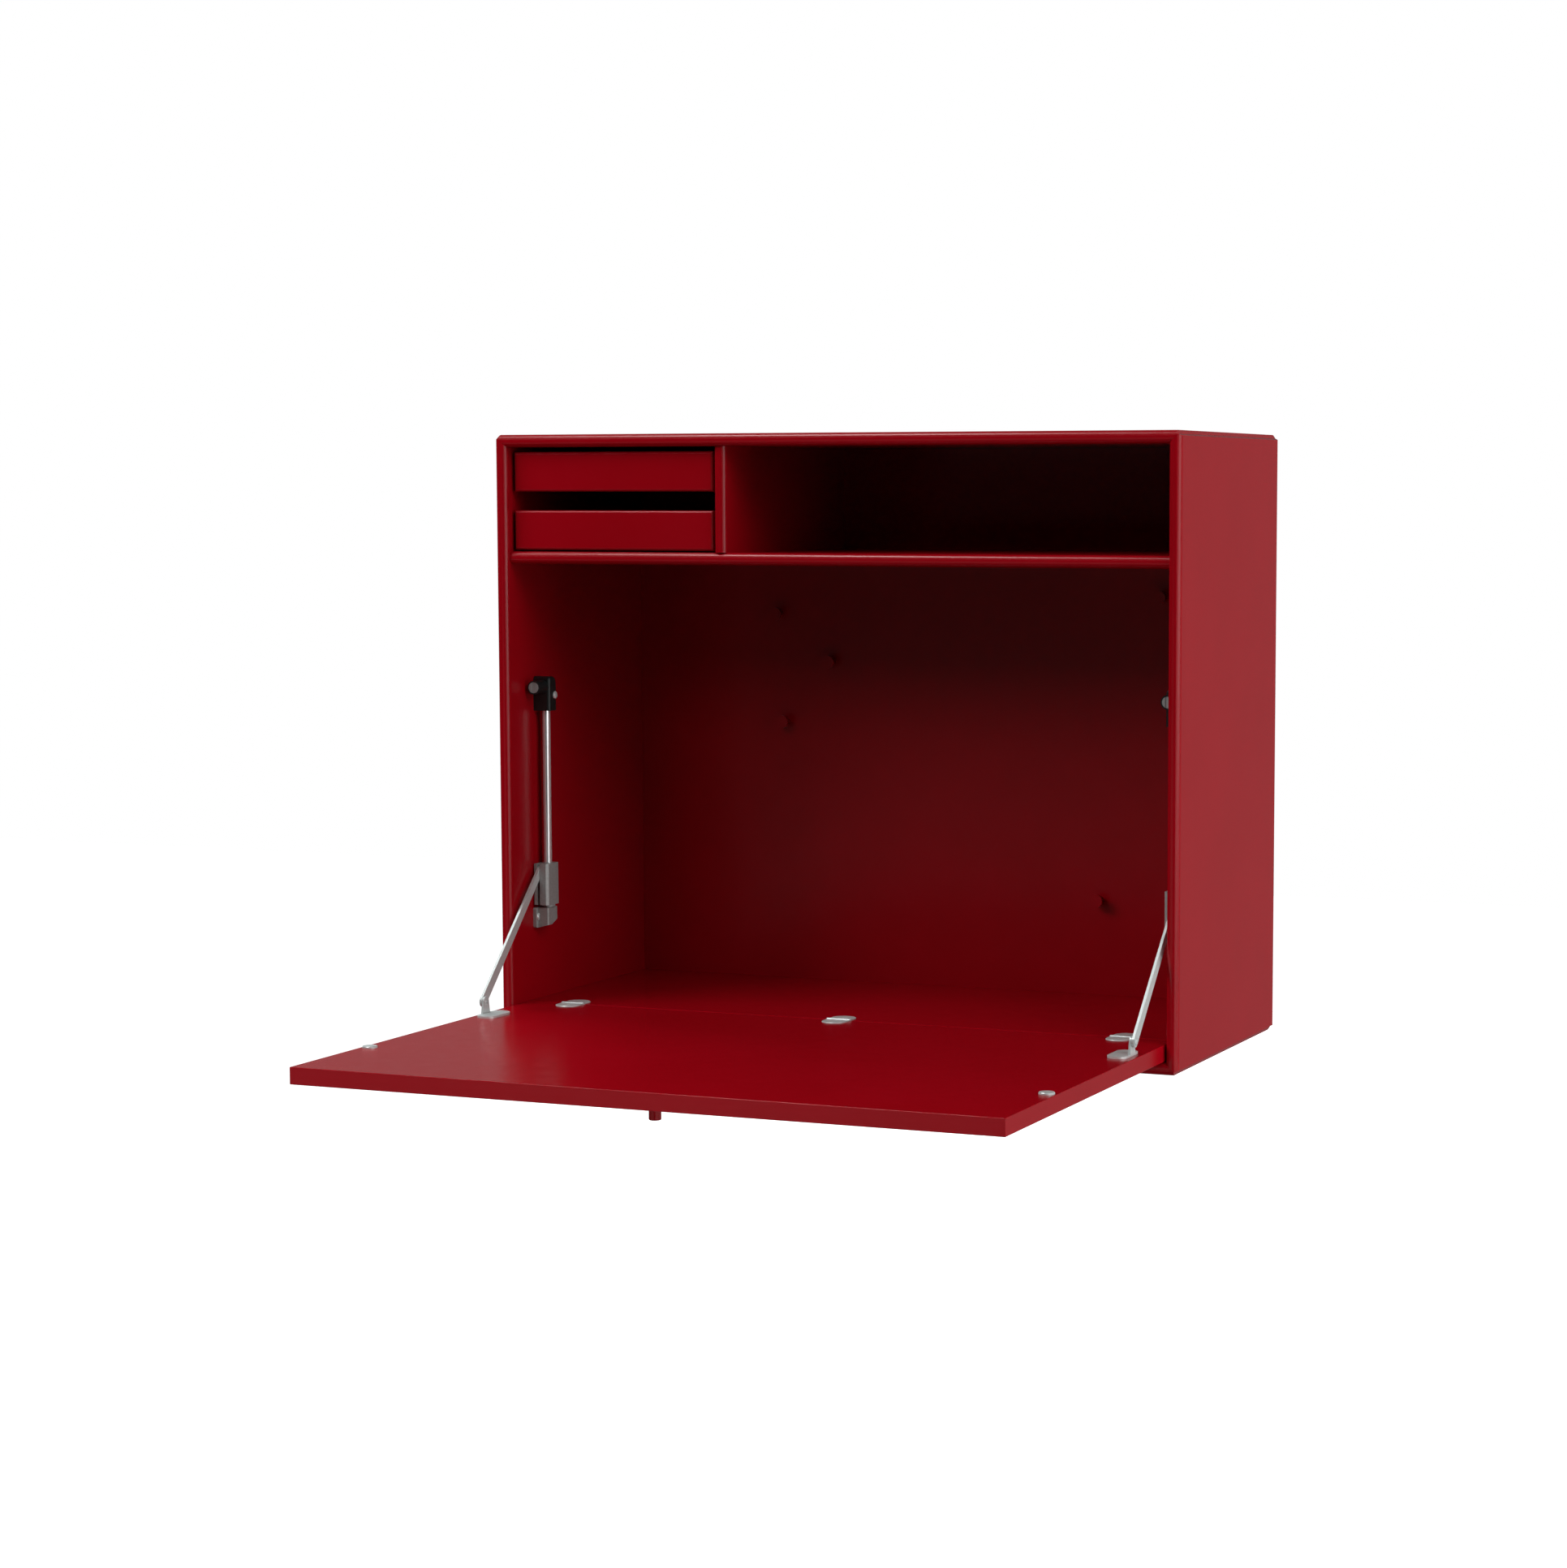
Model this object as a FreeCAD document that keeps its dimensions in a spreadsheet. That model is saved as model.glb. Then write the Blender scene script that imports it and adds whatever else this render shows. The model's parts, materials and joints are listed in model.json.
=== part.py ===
import FreeCAD, Part
import math
import os
import re
import Sketcher

# Wall-hung fold-down writing desk in lacquered board, drawn with its flap open.
# X runs to the right, Y towards the wall and Z up. The wall is the plane Y = 0.
# The origin is the centre of the wall screws, behind the middle of the cabinet.

doc = FreeCAD.newDocument("fold_down_wall_desk")

# Driving dimensions in millimetres and degrees.
driving = {
    # Cabinet of four mitred boards
    "width": 696,
    "height": 582,
    "depth": 300,
    "board": 12,
    "edge_round": 5.5,
    "back_edge_round": 3,
    "corner_bevel": 5,
    "mitre_groove": 0.8,
    "front_setback": 6,
    "upper_clear": 100,
    "tray_bay": 219,
    "floor_thickness": 16,
    "floor_round": 1.5,
    "fit_gap": 0.1,
    # Back panel, its steel sheet and the hanging battens in the recess behind it
    "wall_recess": 10,
    "back_thickness": 6,
    "back_groove": 4,
    "groove_play": 0.5,
    "sheet_thickness": 1,
    "screw_drop": 72,
    "batten_gap": 0.5,
    "batten_meet": 26,
    "wall_batten_below": 24,
    "wall_batten_inset": 20,
    "wall_hole_radius": 2.5,
    "wall_head_radius": 5,
    "wall_hole_inset": 36,
    "wall_holes_inner": 200,
    # Flap
    "hinge_setback": 30,
    "hinge_joint": 0.8,
    "flap_top_gap": 3,
    "flap_clearance": 0.4,
    "flap_side_gap": 1,
    "flap_round": 0.8,
    # Flush flap hinges
    "hinge_inset": 50,
    "leaf_width": 24,
    "leaf_length": 22.5,
    "leaf_round": 11.5,
    "leaf_thickness": 1.8,
    "leaf_proud": 0.8,
    "leaf_chamfer": 0.5,
    "knuckle_radius": 1.7,
    "middle_knuckle": 8,
    "knuckle_gap": 0.2,
    "turn_gap": 0.3,
    "hinge_pin_radius": 0.8,
    "hinge_screw_radius": 1.5,
    "hinge_screw_head": 3,
    "hinge_screw_length": 11,
    "hinge_screw_reach": 13,
    # Knob and strike discs on the flap
    "knob_radius": 5.4,
    "knob_length": 15.5,
    "knob_chamfer": 0.6,
    "knob_from_edge": 42,
    "stud_radius": 2.5,
    "stud_depth": 9,
    "disc_radius": 7,
    "disc_thickness": 1.8,
    "disc_chamfer": 0.5,
    "disc_spigot_radius": 2,
    "disc_spigot_length": 8,
    # Flap stays: sizes from the cabinet side, from the hinge axis and above it
    "rod_inset": 10,
    "rod_setback": 27.5,
    "rod_radius": 4,
    "rod_in_block": 7,
    "rod_in_head": 8.5,
    "running_gap": 0.06,
    "catch_height": 309,
    "head_width": 18,
    "head_depth": 15,
    "head_height": 33.6,
    "head_cover": 3.4,
    "head_round": 3,
    "head_back_round": 7,
    "boss_radius": 6.7,
    "magnet_radius": 5.4,
    "magnet_length": 8,
    "magnet_slot_width": 5,
    "magnet_slot_depth": 0.6,
    "catch_gap": 0.5,
    "head_screw_setback": 30.5,
    "head_screw_rise": 15,
    "block_gap": 0.6,
    "block_height": 20,
    "block_width": 15,
    "block_depth": 19,
    "block_round": 1.5,
    "block_slant": 8,
    "block_rise": 3,
    "flange_front": 14,
    "flange_thickness": 3.5,
    "flange_round": 2,
    "flange_screw_setback": 18,
    "flange_screw_rise": 11,
    "stay_screw_radius": 2,
    "stay_screw_head": 3.8,
    "stay_screw_cap": 1.8,
    "stay_screw_grip": 9,
    # Slider, arm and foot of each stay
    "slider_inset": 1.5,
    "slider_width": 15,
    "slider_front": 14.5,
    "slider_depth": 23,
    "slider_height": 41,
    "slider_round": 1.5,
    "slider_chamfer": 2.2,
    "collar_radius": 6.5,
    "collar_length": 2.2,
    "slider_pivot_setback": 18,
    "slider_pivot_height": 128,
    "slider_pivot_drop": 6.7,
    "slider_pin_radius": 2,
    "slider_pin_depth": 3,
    "arm_inset": 4.7,
    "arm_thickness": 2.5,
    "arm_foot_width": 10.2,
    "arm_tip_width": 8,
    "arm_gap": 0.3,
    "foot_reach": 97,
    "foot_rise": 13,
    "rivet_radius": 2,
    "rivet_head_radius": 3,
    "rivet_head": 0.8,
    "lug_thickness": 2,
    "lug_base": 15,
    "lug_top_radius": 5,
    "lug_bend": 0.8,
    "plate_width": 19.4,
    "plate_length": 42,
    "plate_thickness": 2,
    "plate_round": 9,
    "foot_screw_spread": 27,
    "foot_screw_radius": 2,
    "foot_screw_head": 3.8,
    "foot_screw_length": 12,
    # Two trays on runners
    "tray_gap": 3,
    "tray_setback": 11.5,
    "tray_back_gap": 14.5,
    "tray_lift": 1.5,
    "tray_between": 18,
    "tray_top_gap": 4.5,
    "tray_front": 12,
    "tray_front_round": 2.5,
    "tray_wall": 10,
    "tray_bottom": 4,
    "tray_bottom_rise": 2,
    "runner_height": 8,
    "runner_rise": 15,
    "runner_engage": 2.8,
    "runner_gap": 0.3,
    "runner_setback": 12,
    "runner_back_gap": 34,
    # Loose magnets on the steel sheet, placed from the nearer side and from the shelf or the floor
    "peg_foot_radius": 4,
    "peg_foot_length": 2,
    "peg_head_radius": 6.5,
    "peg_head_length": 2,
    "peg_length": 12,
    "peg_one_across": 171,
    "peg_one_down": 55,
    "peg_two_across": 229.5,
    "peg_two_down": 103,
    "peg_three_across": 178,
    "peg_three_down": 165,
    "peg_four_across": 111.5,
    "peg_four_down": 34,
    "peg_five_across": 175.8,
    "peg_five_up": 95,
}

# Places that many pieces share, as formulas of the driving dimensions.
cabinet_top = "screw_drop"
cabinet_bottom = "(screw_drop - height)"
inner_left = "(board - width/2)"
inner_width = "(width - 2*board)"
back_face = "(-wall_recess - back_thickness)"
floor_top = "(screw_drop - height + board + floor_thickness)"
shelf_top = "(screw_drop - board - upper_clear)"
shelf_under = "(screw_drop - 2*board - upper_clear)"
inner_front = "(front_setback - depth)"
hinge_line = "(hinge_setback - depth)"
flap_thickness = "(floor_thickness - flap_clearance)"
flap_width = "(width - 2*board - 2*flap_side_gap)"
flap_reach = "({0} - {1} - flap_top_gap)".format(shelf_under, floor_top)
slider_top = "(slider_pivot_height + slider_pivot_drop)"
slider_bottom = "(slider_pivot_height + slider_pivot_drop - slider_height)"
block_top = "({0} - collar_length - block_gap)".format(slider_bottom)
block_bottom = "({0} - block_height)".format(block_top)
rod_bottom = "({0} - rod_in_block)".format(block_top)
head_top = "(catch_height + boss_radius + head_cover)"
head_bottom = "({0} - head_height)".format(head_top)
slot_start = "(arm_inset - arm_gap)"
slot_end = "(arm_inset + arm_thickness + arm_gap)"
arm_rise = "(slider_pivot_height - foot_rise)"
arm_run = "(foot_reach + slider_pivot_setback)"
arm_length = "sqrt(({0})^2 + ({1})^2)".format(arm_rise, arm_run)
tray_width = "(tray_bay - 2*tray_gap)"
tray_centre = "(board - width/2 + tray_bay/2)"
tray_front_face = "(tray_setback - depth)"
tray_height = "((upper_clear - tray_lift - tray_between - tray_top_gap)/2)"
tray_pitch = "({0} + tray_between)".format(tray_height)
tray_run = "({0} - {1} - tray_front - tray_back_gap)".format(back_face, tray_front_face)

x_axis = FreeCAD.Vector(1, 0, 0)
y_axis = FreeCAD.Vector(0, 1, 0)
z_axis = FreeCAD.Vector(0, 0, 1)
to_right = FreeCAD.Rotation(y_axis, 90)
to_front = FreeCAD.Rotation(x_axis, 90)
half_turn = FreeCAD.Rotation(z_axis, 180)

nodes = []


def fill_sheet():
    sheet = doc.addObject("Spreadsheet::Sheet", "Sizes")
    for row, (name, value) in enumerate(driving.items(), start=1):
        sheet.set("A%d" % row, name)
        sheet.set("B%d" % row, str(value))
        sheet.setAlias("B%d" % row, name)
    doc.recompute()


def formula(text):
    def as_cell(match):
        return "Sizes." + match[0] if match[0] in driving else match[0]
    return re.sub(r"[a-z_]+", as_cell, text)


def tie(thing, **formulas):
    for path, text in formulas.items():
        thing.setExpression(path.replace("__", "."), formula(text))


def place(thing, x, y, z, turn=None):
    if turn:
        thing.Placement = FreeCAD.Placement(FreeCAD.Vector(), turn)
    tie(thing, Placement__Base__x=x, Placement__Base__y=y, Placement__Base__z=z)


def keep(thing):
    nodes.append(thing)
    return thing


def new_body(name, x="0", y="0", z="0", turn=None):
    body = doc.addObject("PartDesign::Body", name)
    body.Label = name
    place(body, x, y, z, turn)
    return body


def new_sketch(body, plane, lift="0"):
    drawing = body.newObject("Sketcher::SketchObject", "outline")
    support = next(feature for feature in body.Origin.OriginFeatures if feature.Role == plane)
    drawing.AttachmentSupport = (support, "")
    drawing.MapMode = "FlatFace"
    tie(drawing, AttachmentOffset__Base__z=lift)
    return drawing


def fix_point(drawing, geometry, end, x, y):
    for kind, text in (("DistanceX", x), ("DistanceY", y)):
        index = drawing.addConstraint(Sketcher.Constraint(kind, -1, 1, geometry, end, 1.0))
        tie(drawing, **{"Constraints[%d]" % index: text})


def polygon(drawing, corners):
    first = drawing.GeometryCount
    count = len(corners)
    turns = [2 * math.pi * step / count for step in range(count)]
    points = [FreeCAD.Vector(math.cos(turn), math.sin(turn), 0) for turn in turns]
    for step in range(count):
        drawing.addGeometry(Part.LineSegment(points[step], points[(step + 1) % count]))
    for step in range(count):
        following = first + (step + 1) % count
        drawing.addConstraint(Sketcher.Constraint("Coincident", first + step, 2, following, 1))
    for step, (x, y) in enumerate(corners):
        fix_point(drawing, first + step, 1, x, y)


def rectangle(drawing, left, low, right, high):
    polygon(drawing, [(left, low), (right, low), (right, high), (left, high)])


def circle(drawing, x, y, radius):
    index = drawing.addGeometry(Part.Circle(FreeCAD.Vector(1, 1, 0), z_axis, 1))
    fix_point(drawing, index, 3, x, y)
    size = drawing.addConstraint(Sketcher.Constraint("Radius", index, 1))
    tie(drawing, **{"Constraints[%d]" % size: radius})


def pad(body, drawing, length, centred=False, backwards=False):
    feature = body.newObject("PartDesign::Pad", "pad")
    feature.Profile = drawing
    feature.SideType = "Symmetric" if centred else "One side"
    feature.Reversed = backwards
    tie(feature, Length=length)
    return feature


def pocket(body, drawing, length, backwards=False):
    feature = body.newObject("PartDesign::Pocket", "pocket")
    feature.Profile = drawing
    feature.Reversed = backwards
    tie(feature, Length=length)
    return feature


def pocket_through(body, drawing):
    feature = body.newObject("PartDesign::Pocket", "pocket")
    feature.Profile = drawing
    feature.Type = "ThroughAll"
    feature.SideType = "Symmetric"
    return feature


def runs_along(edge, axis):
    if not isinstance(edge.Curve, Part.Line):
        return False
    return abs(edge.tangentAt(edge.FirstParameter).dot(axis)) > 0.999


def dress(body, kind, base, wanted, **sizes):
    doc.recompute()
    names = ["Edge%d" % number for number, edge in enumerate(base.Shape.Edges, start=1) if wanted(edge)]
    feature = body.newObject("PartDesign::" + kind, kind.lower())
    feature.Base = (base, names)
    tie(feature, **sizes)
    return feature


def turned(name, profile, x, y, z, turn=None):
    body = new_body(name, x, y, z, turn)
    drawing = new_sketch(body, "XZ_Plane")
    polygon(drawing, profile)
    spin = body.newObject("PartDesign::Revolution", "turning")
    spin.Profile = drawing
    spin.ReferenceAxis = (drawing, ["V_Axis"])
    spin.Angle = 360
    return body


def group(name, pieces):
    made = doc.addObject("Part::Compound", name)
    made.Label = name
    made.Links = pieces
    return made


def fused(name, pieces):
    made = doc.addObject("Part::MultiFuse", name)
    made.Label = name
    made.Shapes = pieces
    return made


def cut(name, base, tool):
    made = doc.addObject("Part::Cut", name)
    made.Label = name
    made.Base = base
    made.Tool = tool
    return made


def mirrored(name, source):
    made = doc.addObject("Part::Mirroring", name)
    made.Label = name
    made.Source = source
    made.Normal = x_axis
    return made


# A board lies with its outer face on the local XY plane, its length along X and its back edge at Y = 0.
def mitred_board(name, length, x, z, angle):
    body = new_body(name, x=x, z=z, turn=FreeCAD.Rotation(y_axis, angle))
    section = new_sketch(body, "YZ_Plane")
    rectangle(section, "-depth", "-board", "0", "0")
    blank = pad(body, section, length, centred=True)
    rounded = dress(body, "Fillet", blank,
                    lambda edge: runs_along(edge, x_axis) and edge.CenterOfMass.y < -1,
                    Radius="edge_round")
    dress(body, "Fillet", rounded,
          lambda edge: runs_along(edge, x_axis) and abs(edge.CenterOfMass.y) < 0.01,
          Radius="back_edge_round")
    ends = new_sketch(body, "XZ_Plane")
    tip = "(corner_bevel/2 + mitre_groove)"
    for side in ("-", ""):
        end = side + "({0}/2 - {1})"
        polygon(ends, [
            (end.format(length, "corner_bevel"), "0"),
            (end.format(length, "corner_bevel"), "board"),
            (end.format(length, "(-board)"), "board"),
            (end.format(length, "(-board)"), "-2*board"),
            (end.format(length, "2*board"), "-2*board"),
            (end.format(length, tip), "-" + tip),
        ])
    pocket_through(body, ends)
    groove = new_sketch(body, "YZ_Plane")
    rectangle(groove, back_face, "-2*board", "-wall_recess", "back_groove + groove_play - board")
    pocket_through(body, groove)
    return body


def plain_panel(name, across, deep, tall, x, y, z):
    body = new_body(name, x, y, z)
    plan = new_sketch(body, "XY_Plane")
    rectangle(plan, "-{0}/2".format(across), "0", "{0}/2".format(across), deep)
    pad(body, plan, tall)
    return body


def make_back():
    across = "({0} + 2*back_groove)".format(inner_width)
    tall = "(height - 2*board + 2*back_groove)"
    keep(plain_panel("back_panel", across, "back_thickness", tall,
                     "0", back_face, cabinet_bottom + " + board - back_groove"))
    keep(plain_panel("magnetic_sheet", inner_width, "sheet_thickness", shelf_under + " - " + floor_top,
                     "0", back_face + " - sheet_thickness", floor_top))


def make_shelf():
    body = keep(new_body("shelf", "0", inner_front, shelf_top))
    section = new_sketch(body, "YZ_Plane")
    rectangle(section, "0", "-board", back_face + " - " + inner_front, "0")
    blank = pad(body, section, inner_width, centred=True)
    dress(body, "Fillet", blank,
          lambda edge: runs_along(edge, x_axis) and edge.CenterOfMass.y < 1,
          Radius="edge_round")


def make_divider():
    body = keep(new_body("divider", inner_left + " + tray_bay", inner_front, shelf_top))
    plan = new_sketch(body, "XY_Plane")
    rectangle(plan, "0", "0", "board", back_face + " - " + inner_front)
    blank = pad(body, plan, "upper_clear")
    dress(body, "Fillet", blank,
          lambda edge: runs_along(edge, z_axis) and edge.CenterOfMass.y < 1,
          Radius="edge_round")


# The hanging batten hooks over the bevelled top of the wall batten.
def make_battens():
    top = "({0} - board)".format(cabinet_top)
    hanging = keep(new_body("hanging_batten"))
    section = new_sketch(hanging, "YZ_Plane")
    polygon(section, [
        ("-wall_recess", top),
        ("-batten_gap", top),
        ("-batten_gap", "batten_meet + batten_gap"),
        ("-wall_recess", "batten_meet + wall_recess"),
    ])
    pad(hanging, section, inner_width, centred=True)
    wall = keep(new_body("wall_batten"))
    section = new_sketch(wall, "YZ_Plane")
    polygon(section, [
        ("0", "batten_meet"),
        ("batten_gap - wall_recess", "batten_meet + wall_recess - batten_gap"),
        ("batten_gap - wall_recess", "-wall_batten_below"),
        ("0", "-wall_batten_below"),
    ])
    pad(wall, section, "{0} - 2*wall_batten_inset".format(inner_width), centred=True)
    holes = new_sketch(wall, "XZ_Plane")
    for spread in ("wall_holes_inner", "({0} - 2*wall_batten_inset - 2*wall_hole_inset)".format(inner_width)):
        circle(holes, "-{0}/2".format(spread), "0", "wall_hole_radius")
        circle(holes, "{0}/2".format(spread), "0", "wall_hole_radius")
    bored = pocket_through(wall, holes)
    front = driving["batten_gap"] - driving["wall_recess"]
    dress(wall, "Chamfer", bored,
          lambda edge: isinstance(edge.Curve, Part.Circle) and abs(edge.CenterOfMass.y - front) < 0.01,
          Size="wall_head_radius - wall_hole_radius")


hinge_stations = {
    "left": "-({0}/2 - hinge_inset)".format(flap_width),
    "middle": "0",
    "right": "({0}/2 - hinge_inset)".format(flap_width),
}


# A leaf is let into its board and stands a little proud of it, with the axis level with the surface.
# Local Y points away from the hinge line.
def leaf_plate(body, start, margin):
    plan = new_sketch(body, "XY_Plane", lift="leaf_proud")
    half = "(leaf_width/2 + {0})".format(margin)
    rectangle(plan, "-" + half, start, half, "leaf_length + " + margin)
    blank = pad(body, plan, "leaf_thickness + leaf_proud", backwards=True)
    return dress(body, "Fillet", blank,
                 lambda edge: runs_along(edge, z_axis) and edge.CenterOfMass.y > 1,
                 Radius="leaf_round + " + margin)


def knuckle_ring(body, radius, start, length, remove=False):
    ring = new_sketch(body, "YZ_Plane", lift=start)
    circle(ring, "0", "0", radius)
    if remove:
        pocket(body, ring, length, backwards=True)
    else:
        pad(body, ring, length)


def hinge_leaf(name, x, on_floor):
    body = new_body(name, x, hinge_line, floor_top, None if on_floor else half_turn)
    plate = leaf_plate(body, "0", "0")
    level = driving["leaf_proud"]
    dress(body, "Chamfer", plate,
          lambda edge: abs(edge.CenterOfMass.z - level) < 0.01 and edge.CenterOfMass.y > 1,
          Size="leaf_chamfer")
    outer = "((leaf_width - middle_knuckle)/2 - knuckle_gap)"
    stretches = {
        "left": ("(-leaf_width/2)", outer, not on_floor),
        "middle": ("(-middle_knuckle/2)", "middle_knuckle", on_floor),
        "right": ("(middle_knuckle/2 + knuckle_gap)", outer, not on_floor),
    }
    for start, length, foreign in stretches.values():
        if foreign:
            knuckle_ring(body, "knuckle_radius + turn_gap", start + " - knuckle_gap",
                         length + " + 2*knuckle_gap", remove=True)
    for start, length, foreign in stretches.values():
        if not foreign:
            knuckle_ring(body, "knuckle_radius", start, length)
    bore = new_sketch(body, "YZ_Plane")
    circle(bore, "0", "0", "hinge_pin_radius" if on_floor else "hinge_pin_radius + running_gap")
    pocket_through(body, bore)
    return body


def leaf_recess(name, x, on_floor):
    body = new_body(name, x, hinge_line, floor_top, None if on_floor else half_turn)
    leaf_plate(body, "-hinge_joint", "fit_gap")
    relief = new_sketch(body, "YZ_Plane")
    circle(relief, "0", "0", "knuckle_radius + turn_gap")
    pad(body, relief, "leaf_width + 2*turn_gap", centred=True)
    return body


def countersunk_profile(head, shank, length):
    return [
        ("0", "0"),
        (head, "0"),
        (shank, "{0} - {1}".format(shank, head)),
        (shank, "-" + length),
        ("0", "-" + length),
    ]


def make_hinges(on_floor):
    side = "floor" if on_floor else "flap"
    reach = "hinge_screw_reach" if on_floor else "(-hinge_screw_reach)"
    profile = countersunk_profile("hinge_screw_head", "hinge_screw_radius", "hinge_screw_length")
    leaves = []
    recesses = []
    screws = []
    for station, x in hinge_stations.items():
        label = side + "_" + station
        leaves.append(hinge_leaf(label + "_leaf", x, on_floor))
        recesses.append(leaf_recess(label + "_recess", x, on_floor))
        screws.append(turned(label + "_leaf_screw", profile, x, hinge_line + " + " + reach,
                             floor_top + " + leaf_proud"))
    all_screws = keep(group(side + "_hinge_screws", screws))
    keep(cut(side + "_hinge_leaves", group(side + "_leaf_blanks", leaves), all_screws))
    return recesses + screws


def make_hinge_pins():
    profile = [
        ("0", "-leaf_width/2"),
        ("hinge_pin_radius", "-leaf_width/2"),
        ("hinge_pin_radius", "leaf_width/2"),
        ("0", "leaf_width/2"),
    ]
    pins = []
    for station, x in hinge_stations.items():
        pins.append(turned(station + "_hinge_pin", profile, x, hinge_line, floor_top, to_right))
    keep(group("hinge_pins", pins))


def make_floor():
    deep = "({0} - {1} - hinge_joint/2)".format(back_face, hinge_line)
    blank = plain_panel("floor_blank", inner_width, deep, "floor_thickness",
                        "0", hinge_line + " + hinge_joint/2", floor_top + " - floor_thickness")
    dress(blank, "Fillet", blank.Tip,
          lambda edge: runs_along(edge, x_axis) and edge.CenterOfMass.y < 0.01 and edge.CenterOfMass.z > 1,
          Radius="floor_round")
    keep(cut("inner_floor", blank, fused("floor_cuts", make_hinges(on_floor=True))))


def make_knob():
    y = "{0} - {1} + knob_from_edge".format(hinge_line, flap_reach)
    z = floor_top + " - " + flap_thickness
    stud = turned("knob_stud", [
        ("0", "-stud_depth"),
        ("stud_radius", "-stud_depth"),
        ("stud_radius", "stud_depth"),
        ("0", "stud_depth"),
    ], "0", y, z)
    knob = turned("knob", [
        ("stud_radius", "0"),
        ("knob_radius", "0"),
        ("knob_radius", "knob_chamfer - knob_length"),
        ("knob_radius - knob_chamfer", "-knob_length"),
        ("0", "-knob_length"),
        ("0", "-stud_depth"),
        ("stud_radius", "-stud_depth"),
    ], "0", y, z)
    keep(knob)
    return keep(stud)


def make_strike_discs():
    disc = turned("left_disc", [
        ("0", "-disc_spigot_length"),
        ("disc_spigot_radius", "-disc_spigot_length"),
        ("disc_spigot_radius", "0"),
        ("disc_radius", "0"),
        ("disc_radius", "disc_thickness - disc_chamfer"),
        ("disc_radius - disc_chamfer", "disc_thickness"),
        ("0", "disc_thickness"),
    ], inner_left + " + rod_inset", hinge_line + " - catch_height", floor_top)
    return keep(group("strike_discs", [disc, mirrored("right_disc", disc)]))


# The foot of a stay is a plate on the flap with an upright lug along its outer edge.
def make_feet():
    y = hinge_line + " - foot_reach"
    profile = countersunk_profile("foot_screw_head", "foot_screw_radius", "foot_screw_length")
    across = inner_left + " + {0} + plate_width/2".format(slot_end)
    screws = []
    for label, shift in (("front", "- foot_screw_spread/2"), ("rear", "+ foot_screw_spread/2")):
        place_y = "{0} {1}".format(y, shift)
        screw = turned("left_{0}_foot_screw".format(label), profile, across, place_y,
                       floor_top + " + plate_thickness")
        screws.append(screw)
        screws.append(mirrored("right_{0}_foot_screw".format(label), screw))
    all_screws = keep(group("foot_screws", screws))
    blank = new_body("left_foot_blank", inner_left, y, floor_top)
    plan = new_sketch(blank, "XY_Plane")
    rectangle(plan, slot_end, "-plate_length/2", slot_end + " + plate_width", "plate_length/2")
    plate = pad(blank, plan, "plate_thickness")
    dress(blank, "Fillet", plate, lambda edge: runs_along(edge, z_axis), Radius="plate_round")
    web = new_sketch(blank, "YZ_Plane", lift=slot_end)
    polygon(web, [
        ("-lug_base/2", "0"),
        ("lug_base/2", "0"),
        ("lug_top_radius", "foot_rise"),
        ("-lug_top_radius", "foot_rise"),
    ])
    pad(blank, web, "lug_thickness")
    eye = new_sketch(blank, "YZ_Plane", lift=slot_end)
    circle(eye, "0", "foot_rise", "lug_top_radius")
    lug = pad(blank, eye, "lug_thickness")
    inner = driving["arm_inset"] + driving["arm_thickness"] + driving["arm_gap"] + driving["lug_thickness"]
    level = driving["plate_thickness"]
    dress(blank, "Fillet", lug,
          lambda edge: runs_along(edge, y_axis) and abs(edge.CenterOfMass.x - inner) < 0.01
          and abs(edge.CenterOfMass.z - level) < 0.01,
          Radius="lug_bend")
    hole = new_sketch(blank, "YZ_Plane")
    circle(hole, "0", "foot_rise", "rivet_radius")
    pocket_through(blank, hole)
    left = keep(cut("left_foot_bracket", blank, all_screws))
    keep(mirrored("right_foot_bracket", left))
    return all_screws


# Each rivet is headed over the arm on one side and over the lug on the other.
def make_rivets():
    start = "(arm_inset - arm_gap)"
    end = "({0} + lug_thickness)".format(slot_end)
    rivet = turned("left_rivet", [
        ("0", start + " - rivet_head"),
        ("rivet_head_radius", start + " - rivet_head"),
        ("rivet_head_radius", start),
        ("rivet_radius", start),
        ("rivet_radius", end),
        ("rivet_head_radius", end),
        ("rivet_head_radius", end + " + rivet_head"),
        ("0", end + " + rivet_head"),
    ], inner_left, hinge_line + " - foot_reach", floor_top + " + foot_rise", to_right)
    keep(group("foot_rivets", [rivet, mirrored("right_rivet", rivet)]))


def make_flap():
    tools = make_hinges(on_floor=False)
    tools += [make_knob(), make_strike_discs(), make_feet()]
    body = new_body("flap_blank", "0", hinge_line, floor_top)
    plan = new_sketch(body, "XY_Plane")
    half = "({0}/2)".format(flap_width)
    rectangle(plan, "-" + half, "-" + flap_reach, half, "-hinge_joint/2")
    blank = pad(body, plan, flap_thickness, backwards=True)
    dress(body, "Fillet", blank, lambda edge: True, Radius="flap_round")
    keep(cut("flap_panel", body, fused("flap_cuts", tools)))
    make_rivets()


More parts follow.
